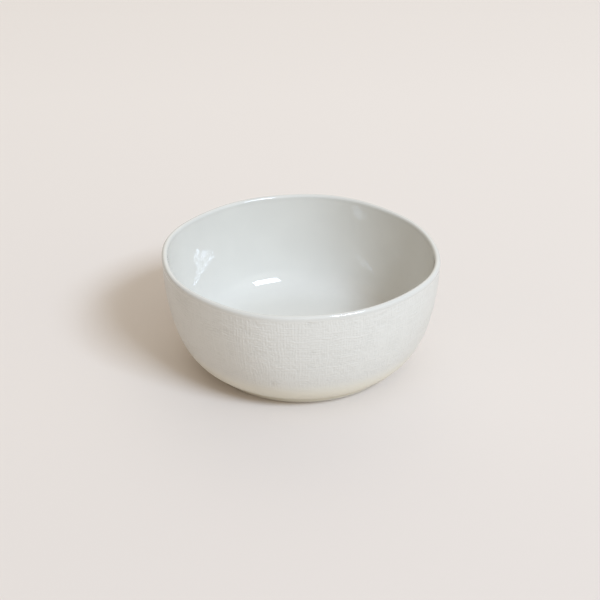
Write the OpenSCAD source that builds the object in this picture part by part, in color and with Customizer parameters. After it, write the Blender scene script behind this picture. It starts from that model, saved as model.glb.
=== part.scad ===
// Porcelain serving bowl with a linen relief outside, hand-shaped to four soft corners.
// A fired body on a luted foot ring, under its glaze coats. Millimetres, +Z up.
// The origin is on the table at the centre of the foot ring.

/* [Bowl] */
// Mean width across the lip
bowl_d = 160; // [145:1:180]
// Mean height from the table to the top of the lip
bowl_h = 69.6; // [60:0.1:80]
// Thickness of the lip, glaze included
lip_t = 3.4; // [2.8:0.1:4.4]
// How far the wall still leans out where it meets the lip, in degrees
lip_lean = 2.2; // [0:0.1:6]
// Thickness of the floor, glaze included
floor_t = 4.6; // [3.8:0.1:6]
// Diameter of the flat floor inside
floor_d = 84; // [70:1:90]

/* [Foot] */
// Diameter of the foot ring where it meets the wall
foot_d = 112; // [104:1:120]
// Height of the foot ring
foot_h = 4.6; // [4.4:0.1:6]
// Width of the foot ring's wall at the top
foot_w = 6.4; // [5:0.1:8]
// How far each side of the ring leans in towards the table
foot_taper = 0.8; // [0.3:0.1:1.2]
// Radius of the ring's edges at the table
foot_edge = 0.9; // [0.5:0.1:1.2]

/* [Glaze] */
// Thickness of every glaze coat
glaze_t = 0.35; // [0.2:0.05:0.5]
// Bare height that the potter wipes clean around the foot
bare_h = 1.3; // [1.2:0.1:1.8]
// Share of the wall's curve, from the foot up, where the linen relief starts
linen_from = 0.42; // [0.35:0.01:0.5]
// Share of the wall's curve where the linen relief stops under the lip
linen_to = 0.993; // [0.98:0.001:0.995]

/* [Hand-shaped outline] */
// How far out the four soft corners stand
corner_out = 0.7; // [0:0.1:1.5]
// How much the corners are sharpened
corner_sharp = 0.35; // [0:0.05:0.6]
// Direction of the first corner, degrees from +X
corner_at = -17; // [-45:1:45]
// How much wider the bowl is left to right than front to back, on each side
oval_out = 1; // [0:0.1:1.5]
// How far the three slow bulges stand out
bulge_out = 0.3; // [0:0.1:1]
// Direction of the first bulge, degrees from +X
bulge_at = -26; // [-60:1:60]
// How far the lip sits off the foot's centre, towards -X
lip_shift = 0.8; // [0:0.1:1]
// How far the lip rises and dips
lip_wave = 0.2; // [0:0.05:0.5]

/* [Hidden] */

SIDES = 60;                  // facets around each hand-shaped ring
LOW_STEPS = 4;               // rings up the smooth band above the foot
LINEN_STEPS = 7;             // rings up the linen relief
INNER_STEPS = 11;            // rings down the inside
LIP_STEPS = 6;               // rings over the lip
GLAZE_STEP = 4;              // the lip's ring where the inner coat takes over
FLOOR_RINGS = [0.66, 0.33];  // shares of the floor's radius
ROUND_FN = 180;              // facets around the turned foot, drawn only
OUTSIDE_PULL = 0.8;          // the curves' handles at the lip, as shares of the height
INSIDE_PULL = 0.86;
FOOT_PULL = 5;               // the outside's handle at the foot
FLOOR_PULL = 20;             // the inside's handle at the edge of the floor

bowl_r = bowl_d / 2;
lip_r = lip_t / 2;
foot_r = foot_d / 2;
floor_r = floor_d / 2;
floor_z = foot_h + floor_t;

// The lip is a half round on the end of a wall that leans out.
lip_mid = [bowl_r - lip_r, bowl_h - lip_r];
lip_up = [sin(lip_lean), cos(lip_lean)];
lip_out = [cos(lip_lean), -sin(lip_lean)];
lip_far = lip_mid + lip_r * lip_out;
lip_near = lip_mid - lip_r * lip_out;

// Each face of the wall is one cubic curve that leaves level and runs into the lip: the
// outside from the foot's top edge, the inside from the edge of the flat floor.
OUTSIDE = [
    [foot_r, foot_h],
    [foot_r + FOOT_PULL, foot_h],
    lip_far - OUTSIDE_PULL * bowl_h * lip_up,
    lip_far,
];
INSIDE = [
    [floor_r, floor_z],
    [floor_r + FLOOR_PULL, floor_z],
    lip_near - INSIDE_PULL * bowl_h * lip_up,
    lip_near,
];

function curve(c, t) =
    pow(1 - t, 3) * c[0] + 3 * t * pow(1 - t, 2) * c[1]
    + 3 * t * t * (1 - t) * c[2] + pow(t, 3) * c[3];

function slope(c, t) =
    pow(1 - t, 2) * (c[1] - c[0]) + 2 * t * (1 - t) * (c[2] - c[1]) + t * t * (c[3] - c[2]);

// Unit direction square to a curve, towards the bowl's axis.
function inward(c, t) = let (s = slope(c, t)) [-s[1], s[0]] / norm(s);

// Points of the section at a depth under the surface: up the outside, over the lip from the
// outside (0) to the inside (1), and up the inside.
function outer(t, depth) = curve(OUTSIDE, t) + depth * inward(OUTSIDE, t);
function lip(u, depth) =
    lip_mid + (lip_r - depth) * (cos(180 * u) * lip_out + sin(180 * u) * lip_up);
function inner(t, depth) = curve(INSIDE, t) - depth * inward(INSIDE, t);

function steps(from, to, count) = [for (i = [0 : count]) from + (to - from) * i / count];
function reversed(list) = [for (i = [len(list) - 1 : -1 : 0]) list[i]];
function rest(list) = [for (i = [1 : len(list) - 1]) list[i]];

// Each coat's face at a given depth under the surface, in order from the foot up the outside,
// over the lip and down the inside. Where two coats meet, both have the same ring.
function low_face(depth) = [for (t = steps(0, linen_from, LOW_STEPS)) outer(t, depth)];
function linen_face(depth) = [
    for (t = steps(linen_from, linen_to, LINEN_STEPS)) outer(t, depth),
];
function lip_face(depth) = [
    outer(linen_to, depth),
    outer(1, depth),
    for (i = [1 : GLAZE_STEP]) lip(i / LIP_STEPS, depth),
];
function inner_face(depth) = [
    for (i = [GLAZE_STEP : LIP_STEPS]) lip(i / LIP_STEPS, depth),
    for (t = rest(steps(1, 0, INNER_STEPS))) inner(t, depth),
    for (share = FLOOR_RINGS) [share * floor_r, floor_z - depth],
    [0, floor_z - depth],
];

// The hand-shaped outline grows from nothing at the foot to its full size at the lip.
function grown(z) = 1 - pow(1 - max(0, min(1, (z - foot_h) / (bowl_h - foot_h))), 3);
function outline(a) =
    corner_out * cos(4 * (a - corner_at)) + corner_sharp * cos(8 * (a - corner_at))
    + oval_out * cos(2 * a) + bulge_out * cos(3 * (a - bulge_at));
function lift(a) = lip_wave * cos(3 * (a - corner_at));

function placed(p, a) =
    let (g = grown(p[1]), r = p[0] * (1 + g * outline(a) / bowl_r))
    [r * cos(a) - lip_shift * g, r * sin(a), p[1] + lift(a) * g];

function ring(p) = [for (i = [0 : SIDES - 1]) placed(p, 360 * i / SIDES)];

// Two triangles for each facet between ring a and ring b. A coat's back is met in the
// opposite order to the face under it, and is folded the other way so that the two agree.
function band(a, b, folded) = [
    for (i = [0 : SIDES - 1])
        let (j = (i + 1) % SIDES)
        each folded
            ? [[a + i, b + i, a + j], [a + j, b + i, b + j]]
            : [[a + i, b + i, b + j], [a + i, b + j, a + j]],
];

// A closed hoop of coat between its face and its back.
module hooped(face, back) {
    section = [each face, each reversed(back)];
    count = len(section);
    polyhedron(
        points = [for (p = section) each ring(p)],
        faces = [
            for (k = [0 : count - 1])
                each band(k * SIDES, (k + 1) % count * SIDES, k >= len(face)),
        ],
        convexity = 8
    );
}

// A closed dish whose section starts and ends on the axis. Its first rings are its back.
module dished(section, back_count = 0) {
    count = len(section) - 2;
    last = count * SIDES + 1;
    function first(k) = 1 + k * SIDES;
    polyhedron(
        points = [
            placed(section[0], 0),
            for (k = [1 : count]) each ring(section[k]),
            placed(section[count + 1], 0),
        ],
        faces = [
            for (i = [0 : SIDES - 1]) [0, first(0) + i, first(0) + (i + 1) % SIDES],
            for (k = [0 : count - 2]) each band(first(k), first(k + 1), k < back_count),
            for (i = [0 : SIDES - 1])
                [first(count - 1) + (i + 1) % SIDES, first(count - 1) + i, last],
        ],
        convexity = 8
    );
}

// One side of the foot ring, from its top at radius r down to the table. The sign is 1 for
// the outer side and -1 for the inner side.
function foot_side(sign, r) =
    let (rounding = r - sign * (foot_taper + foot_edge))
    [
        [r, foot_h],
        for (a = [0 : 15 : 90]) [rounding + sign * foot_edge * cos(a), foot_edge * (1 - sin(a))],
    ];

// A point of the foot's leaning side at height z, outside (1) or inside (-1), at a depth
// under the glaze.
function foot_lean(sign, z, depth) =
    let (top = sign > 0 ? foot_r : foot_r - foot_w, fall = (foot_h - z) / (foot_h - foot_edge))
    [top - sign * foot_taper * fall - depth, z];

module porcelain_body() {
    color([0.90, 0.89, 0.86])
    dished([
        [0, foot_h],
        [foot_r, foot_h],
        each low_face(glaze_t),
        each rest(linen_face(glaze_t)),
        each rest(lip_face(glaze_t)),
        each rest(inner_face(glaze_t)),
    ]);
}

module foot_ring() {
    outside = foot_side(1, foot_r - glaze_t);
    inside = foot_side(-1, foot_r - foot_w);
    color([0.87, 0.84, 0.78])
    rotate_extrude($fn = ROUND_FN)
    polygon([each outside, each reversed(inside)]);
}

module inner_glaze() {
    back = inner_face(glaze_t);
    color([0.80, 0.82, 0.80])
    dished([each reversed(back), each inner_face(0)], back_count = len(back) - 1);
}

module lip_glaze() {
    color([0.84, 0.85, 0.84])
    hooped(lip_face(0), lip_face(glaze_t));
}

module linen_glaze() {
    color([0.78, 0.78, 0.75])
    hooped(linen_face(0), linen_face(glaze_t));
}

module lower_glaze() {
    color([0.80, 0.78, 0.71])
    hooped(low_face(0), low_face(glaze_t));
}

// The foot's outer side, from the wiped edge up to the wall.
module foot_glaze() {
    color([0.80, 0.78, 0.71])
    rotate_extrude($fn = ROUND_FN)
    polygon([
        foot_lean(1, bare_h, glaze_t),
        foot_lean(1, bare_h, 0),
        foot_lean(1, foot_h, 0),
        foot_lean(1, foot_h, glaze_t),
    ]);
}

// The recess under the bowl: the ring's inner side and the underside of the floor.
module base_glaze() {
    ceiling = foot_h - glaze_t;
    color([0.82, 0.82, 0.79])
    rotate_extrude($fn = ROUND_FN)
    polygon([
        [0, ceiling],
        foot_lean(-1, ceiling, glaze_t),
        foot_lean(-1, bare_h, glaze_t),
        foot_lean(-1, bare_h, 0),
        foot_lean(-1, foot_h, 0),
        [0, foot_h],
    ]);
}

porcelain_body();
foot_ring();
inner_glaze();
lip_glaze();
linen_glaze();
lower_glaze();
foot_glaze();
base_glaze();
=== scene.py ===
"""A porcelain serving bowl: smooth glaze inside, linen-weave relief outside, on a foot ring."""
import math

import bpy
import numpy as np
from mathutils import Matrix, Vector


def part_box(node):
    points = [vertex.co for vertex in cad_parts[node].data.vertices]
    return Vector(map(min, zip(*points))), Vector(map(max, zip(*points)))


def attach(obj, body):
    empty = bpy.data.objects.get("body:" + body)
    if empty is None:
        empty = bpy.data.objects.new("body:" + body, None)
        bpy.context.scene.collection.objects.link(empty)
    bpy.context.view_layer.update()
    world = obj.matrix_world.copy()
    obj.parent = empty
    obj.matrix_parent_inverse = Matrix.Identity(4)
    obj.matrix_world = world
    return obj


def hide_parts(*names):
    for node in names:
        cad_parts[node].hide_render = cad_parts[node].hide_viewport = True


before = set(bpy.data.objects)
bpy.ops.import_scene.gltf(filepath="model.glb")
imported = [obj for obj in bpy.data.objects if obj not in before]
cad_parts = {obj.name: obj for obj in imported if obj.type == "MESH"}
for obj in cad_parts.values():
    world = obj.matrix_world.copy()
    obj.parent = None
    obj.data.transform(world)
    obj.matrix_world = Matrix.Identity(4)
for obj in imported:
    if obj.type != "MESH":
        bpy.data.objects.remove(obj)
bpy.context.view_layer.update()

MM = 0.001

# The bowl's section, in metres, as in the CAD frame: heights and radii of its two curves.
BOWL_R = 80 * MM
BOWL_H = 69.6 * MM
LIP_R = 1.7 * MM
LIP_LEAN = math.radians(2.2)
FOOT_R = 56 * MM
FOOT_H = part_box("foot_ring")[1][2]
FOOT_W = 6.4 * MM
FOOT_TAPER = 0.8 * MM
FOOT_EDGE = 0.9 * MM
FLOOR_R = 42 * MM
FLOOR_Z = FOOT_H + 4.6 * MM
GLAZE_T = 0.35 * MM
BARE_H = 1.3 * MM
OUTSIDE_PULL = 0.8 * BOWL_H
INSIDE_PULL = 0.86 * BOWL_H
FOOT_PULL = 5 * MM
FLOOR_PULL = 20 * MM

# The hand-shaped outline, and where the glaze coats meet.
CORNER_OUT = 0.7 * MM
CORNER_SHARP = 0.35 * MM
CORNER_AT = math.radians(-17)
OVAL_OUT = 1.0 * MM
BULGE_OUT = 0.3 * MM
BULGE_AT = math.radians(-26)
LIP_SHIFT = 0.8 * MM
LIP_WAVE = 0.2 * MM
LINEN_FROM = 0.42
LINEN_TO = 0.993
GLAZE_SHARE = 4 / 6

SIDES = 360
LINEN_PITCH = 1.6 * MM
LINEN_DEPTH = 0.24 * MM

rng = np.random.default_rng(7)


# ---- the section ----

LIP_MID = np.array([BOWL_R - LIP_R, BOWL_H - LIP_R])
LIP_UP = np.array([math.sin(LIP_LEAN), math.cos(LIP_LEAN)])
LIP_OUT = np.array([math.cos(LIP_LEAN), -math.sin(LIP_LEAN)])
LIP_FAR = LIP_MID + LIP_R * LIP_OUT
LIP_NEAR = LIP_MID - LIP_R * LIP_OUT
OUTSIDE = np.array([
    [FOOT_R, FOOT_H],
    [FOOT_R + FOOT_PULL, FOOT_H],
    LIP_FAR - OUTSIDE_PULL * LIP_UP,
    LIP_FAR,
])
INSIDE = np.array([
    [FLOOR_R, FLOOR_Z],
    [FLOOR_R + FLOOR_PULL, FLOOR_Z],
    LIP_NEAR - INSIDE_PULL * LIP_UP,
    LIP_NEAR,
])


def column(values):
    return np.asarray(values, dtype=float)[:, None]


def curve(c, t):
    t = column(t)
    return (1 - t)**3 * c[0] + 3 * t * (1 - t)**2 * c[1] + 3 * t**2 * (1 - t) * c[2] + t**3 * c[3]


def inward(c, t):
    """Unit directions square to a curve, towards the bowl's axis."""
    t = column(t)
    s = (1 - t)**2 * (c[1] - c[0]) + 2 * t * (1 - t) * (c[2] - c[1]) + t**2 * (c[3] - c[2])
    s /= np.linalg.norm(s, axis=1, keepdims=True)
    return np.stack([-s[:, 1], s[:, 0]], axis=1)


def outer(t, depth=0.0):
    return curve(OUTSIDE, t) + depth * inward(OUTSIDE, t)


def inner(t, depth=0.0):
    return curve(INSIDE, t) - depth * inward(INSIDE, t)


def lip(u, depth=0.0):
    """The lip's half round, from the outside (0) over the top to the inside (1)."""
    a = math.pi * column(u)
    return LIP_MID + (LIP_R - depth) * (np.cos(a) * LIP_OUT + np.sin(a) * LIP_UP)


def steps(start, end, count):
    return np.linspace(start, end, count + 1)


# ---- the hand-shaped outline ----

def grown(z):
    """How much of the hand shaping there is at a height: none at the foot, all at the lip."""
    return 1 - (1 - np.clip((z - FOOT_H) / (BOWL_H - FOOT_H), 0, 1))**3


def outline(a):
    return (CORNER_OUT * np.cos(4 * (a - CORNER_AT)) + CORNER_SHARP * np.cos(8 * (a - CORNER_AT))
            + OVAL_OUT * np.cos(2 * a) + BULGE_OUT * np.cos(3 * (a - BULGE_AT)))


def lift(a):
    return LIP_WAVE * np.cos(3 * (a - CORNER_AT))


def placed(section, angles):
    """Points (rows, sides, 3) of a section (rows, 2) turned through the angles."""
    r, z = section[:, :1], section[:, 1:]
    a = angles[None, :]
    g = grown(z)
    r = r * (1 + g * outline(a) / BOWL_R)
    return np.stack([r * np.cos(a) - LIP_SHIFT * g, r * np.sin(a), z + lift(a) * g], axis=2)


# ---- meshes ----

def ring_angles(count):
    return np.arange(count) * 2 * math.pi / count


def wrapped_quads(rows, sides, closed):
    """Quads between neighbouring rings, and from the last back to the first if closed."""
    count = rows if closed else rows - 1
    k, i = np.meshgrid(np.arange(count), np.arange(sides), indexing="ij")
    below, above = k * sides, (k + 1) % rows * sides
    j = (i + 1) % sides
    return np.stack([below + i, below + j, above + j, above + i], axis=2).reshape(-1, 4)


def build_mesh(name, points, quads, triangles=()):
    """A mesh from arrays of points, quads and triangles, all shaded smooth."""
    triangles = np.asarray(triangles, dtype=np.int32).reshape(-1, 3)
    corners = np.concatenate([quads.ravel(), triangles.ravel()]).astype(np.int32)
    totals = np.concatenate([np.full(len(quads), 4), np.full(len(triangles), 3)])
    starts = np.concatenate([[0], np.cumsum(totals)[:-1]]).astype(np.int32)
    mesh = bpy.data.meshes.new(name)
    mesh.vertices.add(len(points))
    mesh.vertices.foreach_set("co", points.astype(np.float32).ravel())
    mesh.loops.add(len(corners))
    mesh.loops.foreach_set("vertex_index", corners)
    mesh.polygons.add(len(totals))
    mesh.polygons.foreach_set("loop_start", starts)
    mesh.polygons.foreach_set("use_smooth", np.ones(len(totals), dtype=bool))
    mesh.update(calc_edges=True)
    mesh.validate()
    return mesh


def hoop(name, rings):
    """A closed hoop through rings of points (rows, sides, 3)."""
    rows, sides = rings.shape[:2]
    return build_mesh(name, rings.reshape(-1, 3), wrapped_quads(rows, sides, True))


def dish(name, first_pole, rings, last_pole):
    """A closed dish: rings of points with a pole on the axis at each end."""
    rows, sides = rings.shape[:2]
    points = np.concatenate([rings.reshape(-1, 3), [first_pole, last_pole]])
    i = np.arange(sides)
    j = (i + 1) % sides
    first, last = rows * sides, rows * sides + 1
    end = (rows - 1) * sides
    caps = np.concatenate([
        np.stack([np.full(sides, first), j, i], axis=1),
        np.stack([np.full(sides, last), end + i, end + j], axis=1),
    ])
    return build_mesh(name, points, wrapped_quads(rows, sides, False), caps)


def sharpen(mesh, degrees=40):
    """Marks edges sharper than an angle, so that smooth shading stops there."""
    mesh.set_sharp_from_angle(angle=math.radians(degrees))


def add_piece(name, mesh, material, node):
    sharpen(mesh)
    mesh.materials.append(material)
    piece = bpy.data.objects.new(name, mesh)
    bpy.context.scene.collection.objects.link(piece)
    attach(piece, "root")
    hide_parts(node)
    return piece


# ---- materials ----

SURFACE_IOR = 1.56           # of the glazes, the clay and the floor alike
GLOSS = (0.652, 0.632, 0.577)
GLOSS_ROUGHNESS = (0.008, 0.02)
LIP_PAINTED_SHADE = 0.94              # painted shade: the lip's share of the gloss glaze's lightness
LINEN = (0.65, 0.61, 0.547)
THREAD_HOLLOW = (0.590, 0.570, 0.515)
THREAD_TOP = (0.662, 0.640, 0.584)
# The satin band's warm cream is partly the glaze's own colour and partly painted light bounced up from
# the floor.
SATIN_WITH_BOUNCE = (0.75, 0.708, 0.592)
SATIN_ROUGHNESS = (0.38, 0.48)
BISCUIT = (0.70, 0.66, 0.58)
FLOOR_PAPER = (0.787, 0.688, 0.60)
# Painted light: the floor is painted darker towards the camera and lighter towards the back.
FLOOR_NEAR = (0.692, 0.626, 0.568)
FLOOR_FAR = (0.770, 0.703, 0.640)


def new_material(name, base, roughness):
    material = bpy.data.materials.new(name)
    material.use_nodes = True
    nodes = material.node_tree.nodes
    shader = nodes["Principled BSDF"]
    shader.inputs["Base Color"].default_value = (*base, 1)
    shader.inputs["Roughness"].default_value = roughness
    shader.inputs["IOR"].default_value = SURFACE_IOR
    return material, material.node_tree, shader


def noise(tree, scale, detail=3.0, rough=0.5):
    coordinates = tree.nodes.new("ShaderNodeTexCoord")
    node = tree.nodes.new("ShaderNodeTexNoise")
    node.inputs["Scale"].default_value = scale
    node.inputs["Detail"].default_value = detail
    node.inputs["Roughness"].default_value = rough
    tree.links.new(coordinates.outputs["Object"], node.inputs["Vector"])
    return node.outputs["Fac"]


def ramp(tree, value, low, high, first, second):
    """A colour that goes from first to second as the value goes from low to high."""
    node = tree.nodes.new("ShaderNodeValToRGB")
    node.color_ramp.elements[0].position = low
    node.color_ramp.elements[1].position = high
    node.color_ramp.elements[0].color = (*first, 1)
    node.color_ramp.elements[1].color = (*second, 1)
    tree.links.new(value, node.inputs["Fac"])
    return node.outputs["Color"]


def remap(tree, value, low, high, start, end):
    node = tree.nodes.new("ShaderNodeMapRange")
    for socket, number in zip(("From Min", "From Max", "To Min", "To Max"), (low, high, start, end)):
        node.inputs[socket].default_value = number
    tree.links.new(value, node.inputs["Value"])
    return node.outputs["Result"]


def place_along(tree, axis):
    """How far along an axis of the frame the surface lies, in metres."""
    split = tree.nodes.new("ShaderNodeSeparateXYZ")
    tree.links.new(tree.nodes.new("ShaderNodeTexCoord").outputs["Object"], split.inputs["Vector"])
    return split.outputs[axis]


def scaled(tree, colour, factor):
    node = tree.nodes.new("ShaderNodeVectorMath")
    node.operation = "SCALE"
    tree.links.new(colour, node.inputs[0])
    tree.links.new(factor, node.inputs["Scale"])
    return node.outputs["Vector"]


def bump(tree, height, strength, distance):
    node = tree.nodes.new("ShaderNodeBump")
    node.inputs["Strength"].default_value = strength
    node.inputs["Distance"].default_value = distance
    tree.links.new(height, node.inputs["Height"])
    return node.outputs["Normal"]


def attribute(tree, name):
    node = tree.nodes.new("ShaderNodeAttribute")
    node.attribute_name = name
    return node.outputs["Fac"]


def blend(tree, factor, colour, flat):
    """From a colour of the tree, at factor 0, to one flat colour, at factor 1."""
    node = tree.nodes.new("ShaderNodeMix")
    node.data_type = "RGBA"
    node.inputs["B"].default_value = (*flat, 1)
    tree.links.new(factor, node.inputs["Factor"])
    tree.links.new(colour, node.inputs["A"])
    return node.outputs["Result"]


def gloss_material():
    material, tree, shader = new_material("gloss_glaze", GLOSS, 0.03)
    darker, lighter = tuple(0.975 * c for c in GLOSS), tuple(1.02 * c for c in GLOSS)
    colour = ramp(tree, noise(tree, 26.0), 0.3, 0.7, darker, lighter)
    # Painted shade: the gloss glaze is painted darker towards the lip's top.
    height = place_along(tree, "Z")
    lip_shade = remap(tree, height, BOWL_H - 3.6 * MM, BOWL_H - 1.2 * MM, 1, LIP_PAINTED_SHADE)
    tree.links.new(scaled(tree, colour, lip_shade), shader.inputs["Base Color"])
    tree.links.new(remap(tree, noise(tree, 90.0), 0.3, 0.7, *GLOSS_ROUGHNESS),
                   shader.inputs["Roughness"])
    tree.links.new(bump(tree, noise(tree, 60.0, 2.0), 0.1, 0.0002), shader.inputs["Normal"])
    return material


def linen_material():
    """Threads lighter than the hollows, going over to the satin band's colour at the bottom, a warm
    cream that is partly painted floor bounce.
    """
    material, tree, shader = new_material("linen_glaze", LINEN, 0.35)
    threads = ramp(tree, attribute(tree, "relief"), 0.0, 0.7, THREAD_HOLLOW, THREAD_TOP)
    colour = blend(tree, attribute(tree, "low"), threads, SATIN_WITH_BOUNCE)
    tree.links.new(colour, shader.inputs["Base Color"])
    tree.links.new(bump(tree, noise(tree, 2500.0, 2.0), 0.3, 0.00005), shader.inputs["Normal"])
    return material


def satin_material():
    material, tree, shader = new_material("satin_glaze", SATIN_WITH_BOUNCE, 0.43)
    # Its warm cream is partly painted floor bounce; the cloud varies it at random.
    cloud = noise(tree, 40.0)
    tree.links.new(ramp(tree, cloud, 0.3, 0.7, (0.735, 0.694, 0.578), (0.765, 0.722, 0.606)),
                   shader.inputs["Base Color"])
    tree.links.new(remap(tree, noise(tree, 120.0), 0.3, 0.7, *SATIN_ROUGHNESS),
                   shader.inputs["Roughness"])
    return material


def biscuit_material():
    material, tree, shader = new_material("biscuit_porcelain", BISCUIT, 0.8)
    grain = noise(tree, 1800.0)
    tree.links.new(ramp(tree, grain, 0.3, 0.7, (0.66, 0.62, 0.54), (0.74, 0.70, 0.62)),
                   shader.inputs["Base Color"])
    tree.links.new(bump(tree, grain, 0.4, 0.0001), shader.inputs["Normal"])
    return material


# ---- pieces ----

def floor_rings(depth, shares):
    return np.stack([shares * FLOOR_R, np.full(len(shares), FLOOR_Z - depth)], axis=1)


def inner_section(depth):
    return np.concatenate([
        lip(steps(GLAZE_SHARE, 1, 12), depth),
        inner(steps(1, 0, 90)[1:], depth),
        floor_rings(depth, steps(1, 0.05, 12)[1:]),
    ])


def make_inner_glaze(material):
    angles = ring_angles(SIDES)
    front = placed(inner_section(0), angles)
    back = placed(inner_section(GLAZE_T), angles)[::-1]
    top = placed(np.array([[0, FLOOR_Z]]), angles)[0, 0]
    low = placed(np.array([[0, FLOOR_Z - GLAZE_T]]), angles)[0, 0]
    mesh = dish("inner_gloss", low, np.concatenate([back, front]), top)
    return add_piece("inner_gloss", mesh, material, "inner_glaze")


def lip_section(depth):
    return np.concatenate([
        outer(steps(LINEN_TO, 1, 4), depth),
        lip(steps(0, GLAZE_SHARE, 24)[1:], depth),
    ])


def make_hoop(name, section, material, node):
    angles = ring_angles(SIDES)
    rings = np.concatenate([placed(section(0), angles), placed(section(GLAZE_T), angles)[::-1]])
    return add_piece(name, hoop(name, rings), material, node)


def low_section(depth):
    return outer(steps(0, LINEN_FROM, 40), depth)


WARP_JITTER = 0.36           # how unevenly the threads are spaced, in pitches
WEFT_JITTER = 0.28
WANDER = 0.3 * LINEN_PITCH   # how far a thread strays sideways
WARP_TOP = 0.51              # how high the threads stand, of the relief's whole depth
WEFT_TOP = 0.60
CROSSING = 0.22              # how much a thread rises over the other set and dips under it
THREAD_FLATNESS = 0.8
LINEN_FADE_TOP = (0, 0.7 * MM)
LINEN_FADE_LOW = (2 * MM, 14 * MM)


def thread_edges(length, pitch, jitter):
    """Thread boundaries around a closed length: an even count, unevenly spaced."""
    count = 2 * round(length / pitch / 2)
    edges = (np.arange(count + 1) + np.concatenate([[0], rng.uniform(-jitter, jitter, count - 1), [0]]))
    return edges * length / count, count


def smooth_noise(shape, cells, seamless):
    """Values about 0, smoothly varying over a grid; seamless along the second axis."""
    rows, cols = cells
    grid = rng.normal(size=(rows + 1, cols))
    grid = np.concatenate([grid, grid[:, :1] if seamless else rng.normal(size=(rows + 1, 1))], axis=1)
    y = np.linspace(0, rows, shape[0])
    x = np.linspace(0, cols, shape[1] + 1)[:-1]
    yi, xi = np.minimum(y.astype(int), rows - 1), np.minimum(x.astype(int), cols - 1)
    yf, xf = y - yi, x - xi
    yf, xf = (3 * yf**2 - 2 * yf**3)[:, None], (3 * xf**2 - 2 * xf**3)[None, :]
    a, b = grid[yi][:, xi], grid[yi][:, xi + 1]
    c, d = grid[yi + 1][:, xi], grid[yi + 1][:, xi + 1]
    return (a * (1 - xf) + b * xf) * (1 - yf) + (c * (1 - xf) + d * xf) * yf


def thread_heights(count, cols, cells, seamless):
    """Each thread's height along its length: threads differ, swell and fade, and some have slubs."""
    own = rng.normal(0.0, 0.10, (count, 1))
    swell = 0.22 * smooth_noise((count, cols), (count, cells), seamless)
    slub = np.clip(smooth_noise((count, cols), (count, cells // 2), seamless) - 1.1, 0, 1)
    return own + swell + 0.8 * slub


def weave(around, along):
    """Relief from 0 (hollow) to 1 (top of a thread) of a pressed linen weave.

    around is the distance around the bowl of each column, along the distance up each row.
    """
    rows, cols = len(along), len(around)
    length = 2 * math.pi * BOWL_R
    warp_edges, warps = thread_edges(length, LINEN_PITCH, WARP_JITTER)
    height = along[-1] - along[0]
    weft_edges, wefts = thread_edges(height + 4 * LINEN_PITCH, LINEN_PITCH, WEFT_JITTER)
    wander_x = WANDER * smooth_noise((rows, cols), (7, 100), True)
    wander_y = WANDER * smooth_noise((rows, cols), (12, 60), True)
    x = (around[None, :] + wander_x) % length
    y = along[:, None] - along[0] + 2 * LINEN_PITCH + wander_y
    u = np.interp(x, warp_edges, np.arange(warps + 1))
    v = np.interp(y, weft_edges, np.arange(wefts + 1))
    i, j = np.floor(u).astype(int) % warps, np.clip(np.floor(v).astype(int), 0, wefts - 1)
    f, g = u - np.floor(u), v - np.floor(v)
    warp_high = WARP_TOP + thread_heights(warps, rows, 22, False)[i, np.arange(rows)[:, None]]
    weft_high = WEFT_TOP + thread_heights(wefts, cols, 130, True)[j, np.arange(cols)[None, :]]
    side = np.where(i % 2 == 0, 1.0, -1.0)
    lay = np.where(j % 2 == 0, 1.0, -1.0)
    over, under = CROSSING * side * np.sin(math.pi * v), CROSSING * lay * np.sin(math.pi * u)
    warp = np.sin(math.pi * f)**THREAD_FLATNESS * (warp_high + over)
    weft = np.sin(math.pi * g)**THREAD_FLATNESS * (weft_high - under)
    worn = 0.78 + 0.13 * smooth_noise((rows, cols), (8, 60), True)
    grain = 0.12 * smooth_noise((rows, cols), (70, 480), True)
    return np.clip(1 - np.clip(worn, 0.4, 1) * (1 - np.maximum(warp, weft) - grain), 0, 1)


def fade(x, start, end):
    t = np.clip((x - start) / (end - start), 0, 1)
    return t * t * (3 - 2 * t)


def make_linen_glaze(material):
    sides = 1500
    rows = 190
    fine = steps(LINEN_FROM, LINEN_TO, 2000)
    length = np.concatenate([[0], np.cumsum(np.linalg.norm(np.diff(outer(fine), axis=0), axis=1))])
    along = steps(0, length[-1], rows)
    t = np.interp(along, length, fine)
    angles = ring_angles(sides)
    relief = weave(angles * BOWL_R, along)
    top, bottom = length[-1] - along, along
    shown = (fade(top, *LINEN_FADE_TOP) * fade(bottom, *LINEN_FADE_LOW))[:, None]
    relief = 1 - shown * (1 - relief)
    # low: where the linen takes on the satin band's colour, with its partly painted floor bounce.
    low = 1 - fade(bottom, 0, LINEN_FADE_LOW[1])[:, None] + 0 * relief
    front = placed(outer(t), angles)
    into = placed(outer(t, LINEN_DEPTH), angles)
    front = front + (into - front) * (1 - relief)[:, :, None]
    back = placed(outer(steps(LINEN_TO, LINEN_FROM, 8), GLAZE_T), angles)
    mesh = hoop("linen_relief", np.concatenate([front, back]))
    for name, front_values in (("relief", relief), ("low", low)):
        values = np.concatenate([front_values.ravel(), np.ones(back.shape[0] * sides)])
        mesh.attributes.new(name, "FLOAT", "POINT").data.foreach_set("value", values.astype(np.float32))
    return add_piece("linen_relief", mesh, material, "linen_glaze")


def make_body(material):
    angles = ring_angles(120)
    section = np.concatenate([
        [[FOOT_R, FOOT_H]],
        outer(steps(0, 1, 40), GLAZE_T),
        lip(steps(0, 1, 12)[1:], GLAZE_T),
        inner(steps(1, 0, 40)[1:], GLAZE_T),
        floor_rings(GLAZE_T, steps(1, 0.2, 4)[1:]),
    ])
    low = np.array([0, 0, FOOT_H])
    top = placed(np.array([[0, FLOOR_Z - GLAZE_T]]), angles)[0, 0]
    mesh = dish("fired_body", low, placed(section, angles), top)
    return add_piece("fired_body", mesh, material, "porcelain_body")


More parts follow.
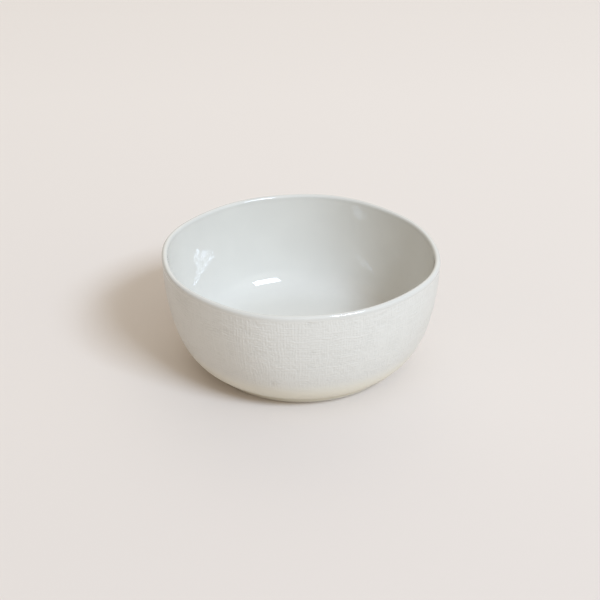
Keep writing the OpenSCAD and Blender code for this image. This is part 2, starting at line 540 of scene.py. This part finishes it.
def foot_side(sign, r):
    """One side of the foot ring's section, from its top at radius r down to the table."""
    a = np.radians(steps(0, 90, 12))
    rounding = r - sign * (FOOT_TAPER + FOOT_EDGE)
    arc = np.stack([rounding + sign * FOOT_EDGE * np.cos(a), FOOT_EDGE * (1 - np.sin(a))], axis=1)
    return np.concatenate([[[r, FOOT_H]], arc])


def turned(section, sides):
    a = ring_angles(sides)[None, :]
    r, z = section[:, :1], section[:, 1:]
    return np.stack([r * np.cos(a), r * np.sin(a), z + 0 * a], axis=2)


def make_foot(material):
    section = np.concatenate([foot_side(1, FOOT_R - GLAZE_T)[::-1], foot_side(-1, FOOT_R - FOOT_W)])
    mesh = hoop("foot_biscuit", turned(section[::-1], SIDES)[::-1])
    return add_piece("foot_biscuit", mesh, material, "foot_ring")


def foot_lean(sign, z, depth):
    top = FOOT_R if sign > 0 else FOOT_R - FOOT_W
    fall = (FOOT_H - z) / (FOOT_H - FOOT_EDGE)
    return [top - sign * FOOT_TAPER * fall - depth, z]


def make_foot_glaze(material):
    section = np.array([
        foot_lean(1, BARE_H, GLAZE_T),
        foot_lean(1, BARE_H, 0),
        foot_lean(1, FOOT_H, 0),
        foot_lean(1, FOOT_H, GLAZE_T),
    ])
    mesh = hoop("foot_satin", turned(section, SIDES))
    return add_piece("foot_satin", mesh, material, "foot_glaze")


def make_base_glaze(material):
    ceiling = FOOT_H - GLAZE_T
    section = np.array([
        foot_lean(-1, ceiling, GLAZE_T),
        foot_lean(-1, BARE_H, GLAZE_T),
        foot_lean(-1, BARE_H, 0),
        foot_lean(-1, FOOT_H, 0),
    ])
    mesh = dish("base_gloss", [0, 0, ceiling], turned(section, SIDES), [0, 0, FOOT_H])
    return add_piece("base_gloss", mesh, material, "base_glaze")


# ---- stage ----

CAMERA_DISTANCE = 1.1
CAMERA_ELEVATION = math.radians(28.6)
FRAME_WIDTH = 0.355
AIM = Vector((-0.0010, 0.0010, 0.0370))
KEY_AZIMUTH = 40
KEY_ELEVATION = 42
KEY_DISTANCE = 5.0

KEY_SIZE = (1.9, 1.1)
KEY_POWER = 221
KEY_COLOUR = (0.65, 0.79, 1.0)
KEY_TARGET = Vector((0, 0, 0.03))

# The soft light from the studio's walls: azimuth, elevation, sharpness and colour.
FILLS = [
    (45, 30, 4, (1.24, 1.22, 1.12)),
    (135, 30, 4, (0.24, 0.22, 0.25)),
    (180, 30, 4, (1.27, 1.23, 1.11)),
    (270, 30, 4, (0.32, 0.31, 0.30)),
    (315, 30, 4, (0.47, 0.40, 0.33)),
    (0, 90, 4, (0.36, 0.33, 0.30)),
]


FLOOR_HALF = 4.0
FLOOR_PAINTED_LIGHT_SPAN = (-0.25, 0.40)   # painted light: how far back the floor goes from its darker near colour to its lighter far colour


def add_floor():
    half = FLOOR_HALF
    mesh = bpy.data.meshes.new("floor")
    mesh.from_pydata([(-half, -half, 0), (half, -half, 0), (half, half, 0), (-half, half, 0)],
                     [], [(0, 1, 2, 3)])
    material, tree, shader = new_material("floor_paper", FLOOR_PAPER, 0.9)
    # Painted light: the floor's colour grows lighter from front to back.
    depth = remap(tree, place_along(tree, "Y"), *FLOOR_PAINTED_LIGHT_SPAN, 0, 1)
    tree.links.new(ramp(tree, depth, 0, 1, FLOOR_NEAR, FLOOR_FAR), shader.inputs["Base Color"])
    shader.inputs["Specular IOR Level"].default_value = 0.1
    mesh.materials.append(material)
    floor = bpy.data.objects.new("floor", mesh)
    bpy.context.scene.collection.objects.link(floor)


def heading(azimuth, elevation):
    """A direction from angles in degrees: azimuth 0 is the camera's side, 90 its right."""
    azimuth, elevation = math.radians(azimuth), math.radians(elevation)
    level = math.cos(elevation)
    return Vector((level * math.sin(azimuth), -level * math.cos(azimuth), math.sin(elevation)))


def add_key():
    light = bpy.data.lights.new("key", "AREA")
    light.shape = "RECTANGLE"
    light.size, light.size_y = KEY_SIZE
    light.energy = KEY_POWER
    light.color = KEY_COLOUR
    lamp = bpy.data.objects.new("key", light)
    lamp.location = KEY_TARGET + heading(KEY_AZIMUTH, KEY_ELEVATION).normalized() * KEY_DISTANCE
    lamp.rotation_euler = (KEY_TARGET - lamp.location).to_track_quat("-Z", "Y").to_euler()
    bpy.context.scene.collection.objects.link(lamp)


def math_node(tree, operation, value, number):
    node = tree.nodes.new("ShaderNodeMath")
    node.operation = operation
    tree.links.new(value, node.inputs[0])
    node.inputs[1].default_value = number
    return node.outputs["Value"]


def soft_fill(tree, ray, direction, sharpness, colour):
    """A soft-edged glow in the sky around a direction."""
    facing = tree.nodes.new("ShaderNodeVectorMath")
    facing.operation = "DOT_PRODUCT"
    facing.inputs[1].default_value = direction
    tree.links.new(ray, facing.inputs[0])
    front = math_node(tree, "MAXIMUM", facing.outputs["Value"], 0.0)
    glow = math_node(tree, "POWER", front, sharpness)
    tint = tree.nodes.new("ShaderNodeVectorMath")
    tint.operation = "SCALE"
    tint.inputs[0].default_value = colour
    tree.links.new(glow, tint.inputs["Scale"])
    return tint.outputs["Vector"]


def add_world():
    world = bpy.data.worlds.new("studio")
    bpy.context.scene.world = world
    world.use_nodes = True
    tree = world.node_tree
    ray = tree.nodes.new("ShaderNodeTexCoord").outputs["Generated"]
    total = None
    for azimuth, elevation, sharpness, colour in FILLS:
        glow = soft_fill(tree, ray, heading(azimuth, elevation), sharpness, colour)
        if total is None:
            total = glow
            continue
        both = tree.nodes.new("ShaderNodeVectorMath")
        tree.links.new(total, both.inputs[0])
        tree.links.new(glow, both.inputs[1])
        total = both.outputs["Vector"]
    tree.links.new(total, tree.nodes["Background"].inputs["Color"])


def add_camera():
    camera = bpy.data.cameras.new("camera")
    camera.sensor_width = 36
    camera.lens = camera.sensor_width * CAMERA_DISTANCE / FRAME_WIDTH
    stand = bpy.data.objects.new("camera", camera)
    back = Vector((0, -math.cos(CAMERA_ELEVATION), math.sin(CAMERA_ELEVATION)))
    stand.location = AIM + back * CAMERA_DISTANCE
    stand.rotation_euler = (-back).to_track_quat("-Z", "Y").to_euler()
    bpy.context.scene.collection.objects.link(stand)
    bpy.context.scene.camera = stand


add_camera()
add_world()
add_key()
add_floor()
bpy.context.scene.view_settings.view_transform = "Standard"

gloss = gloss_material()
satin = satin_material()
biscuit = biscuit_material()
make_body(biscuit)
make_foot(biscuit)
make_inner_glaze(gloss)
make_hoop("lip_gloss", lip_section, gloss, "lip_glaze")
make_linen_glaze(linen_material())
make_hoop("lower_satin", low_section, satin, "lower_glaze")
make_foot_glaze(satin)
make_base_glaze(gloss)
